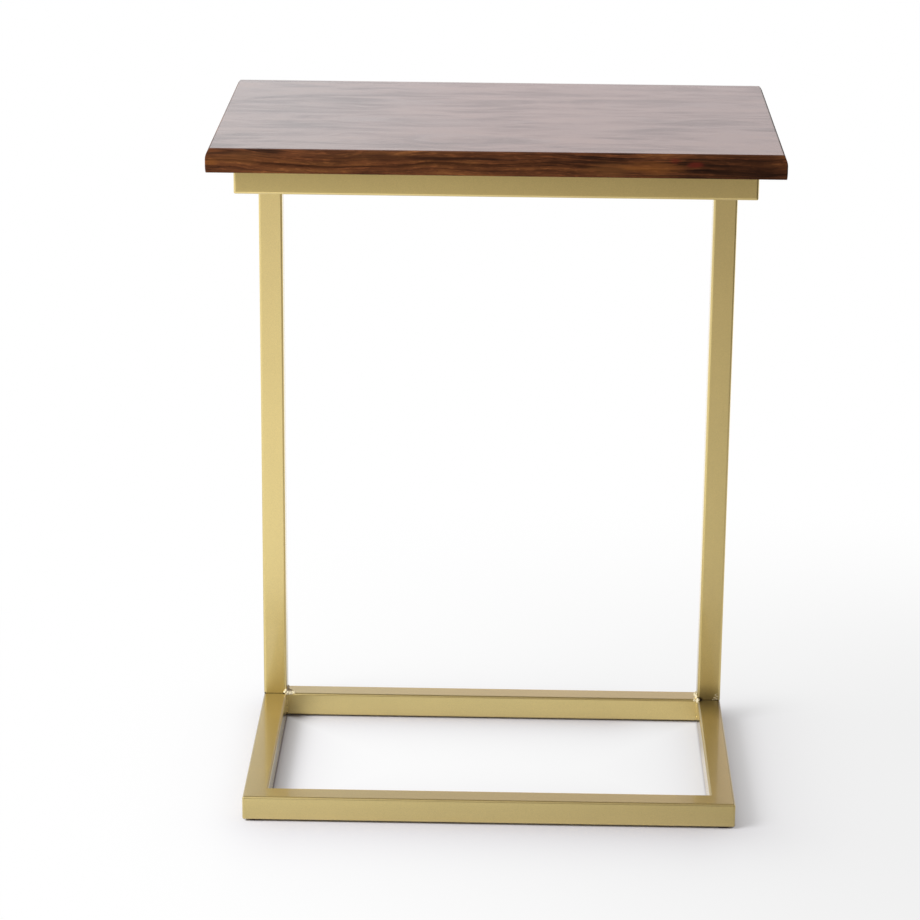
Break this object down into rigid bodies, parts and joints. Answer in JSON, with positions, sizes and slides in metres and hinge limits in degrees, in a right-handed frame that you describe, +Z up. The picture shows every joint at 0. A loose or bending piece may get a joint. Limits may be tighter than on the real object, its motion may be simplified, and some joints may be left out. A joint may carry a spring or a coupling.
{
  "type": "c-shaped side table",
  "caption": "C-shaped side table: rectangular dark wood top on a gold square-tube frame with rear uprights and an open front, to slide over a sofa seat.",
  "frame": {"origin": "on the floor, under the middle of the base and of the top", "axes": "+Z up; +X to the right seen from the open front; +Y to the back, where the two uprights stand, so the open mouth faces -Y"},
  "size_m": [0.55, 0.345, 0.7],
  "materials": {
    "gold_paint": "satin metallic gold paint on steel tube",
    "dark_wood": "satin lacquered dark walnut-brown wood",
    "foot_pad": "matt dark pad",
    "screw_steel": "zinc plated"
  },
  "bodies": {
    "root": {"base_front_rail": "gold_paint", "base_right_rail": "gold_paint", "base_back_rail": "gold_paint", "base_left_rail": "gold_paint", "top_front_rail": "gold_paint", "top_right_rail": "gold_paint", "top_back_rail": "gold_paint", "top_left_rail": "gold_paint", "left_upright": "gold_paint", "right_upright": "gold_paint", "left_foot_weld": "gold_paint", "right_foot_weld": "gold_paint", "left_head_weld": "gold_paint", "right_head_weld": "gold_paint", "base_corner_welds": "gold_paint", "top_corner_welds": "gold_paint", "foot_pad_front_left": "foot_pad", "foot_pad_front_right": "foot_pad", "foot_pad_back_left": "foot_pad", "foot_pad_back_right": "foot_pad", "top_board_front": "dark_wood", "top_board_front_middle": "dark_wood", "top_board_back_middle": "dark_wood", "top_board_back": "dark_wood", "top_screws": "screw_steel"}
  },
  "joints": []
}
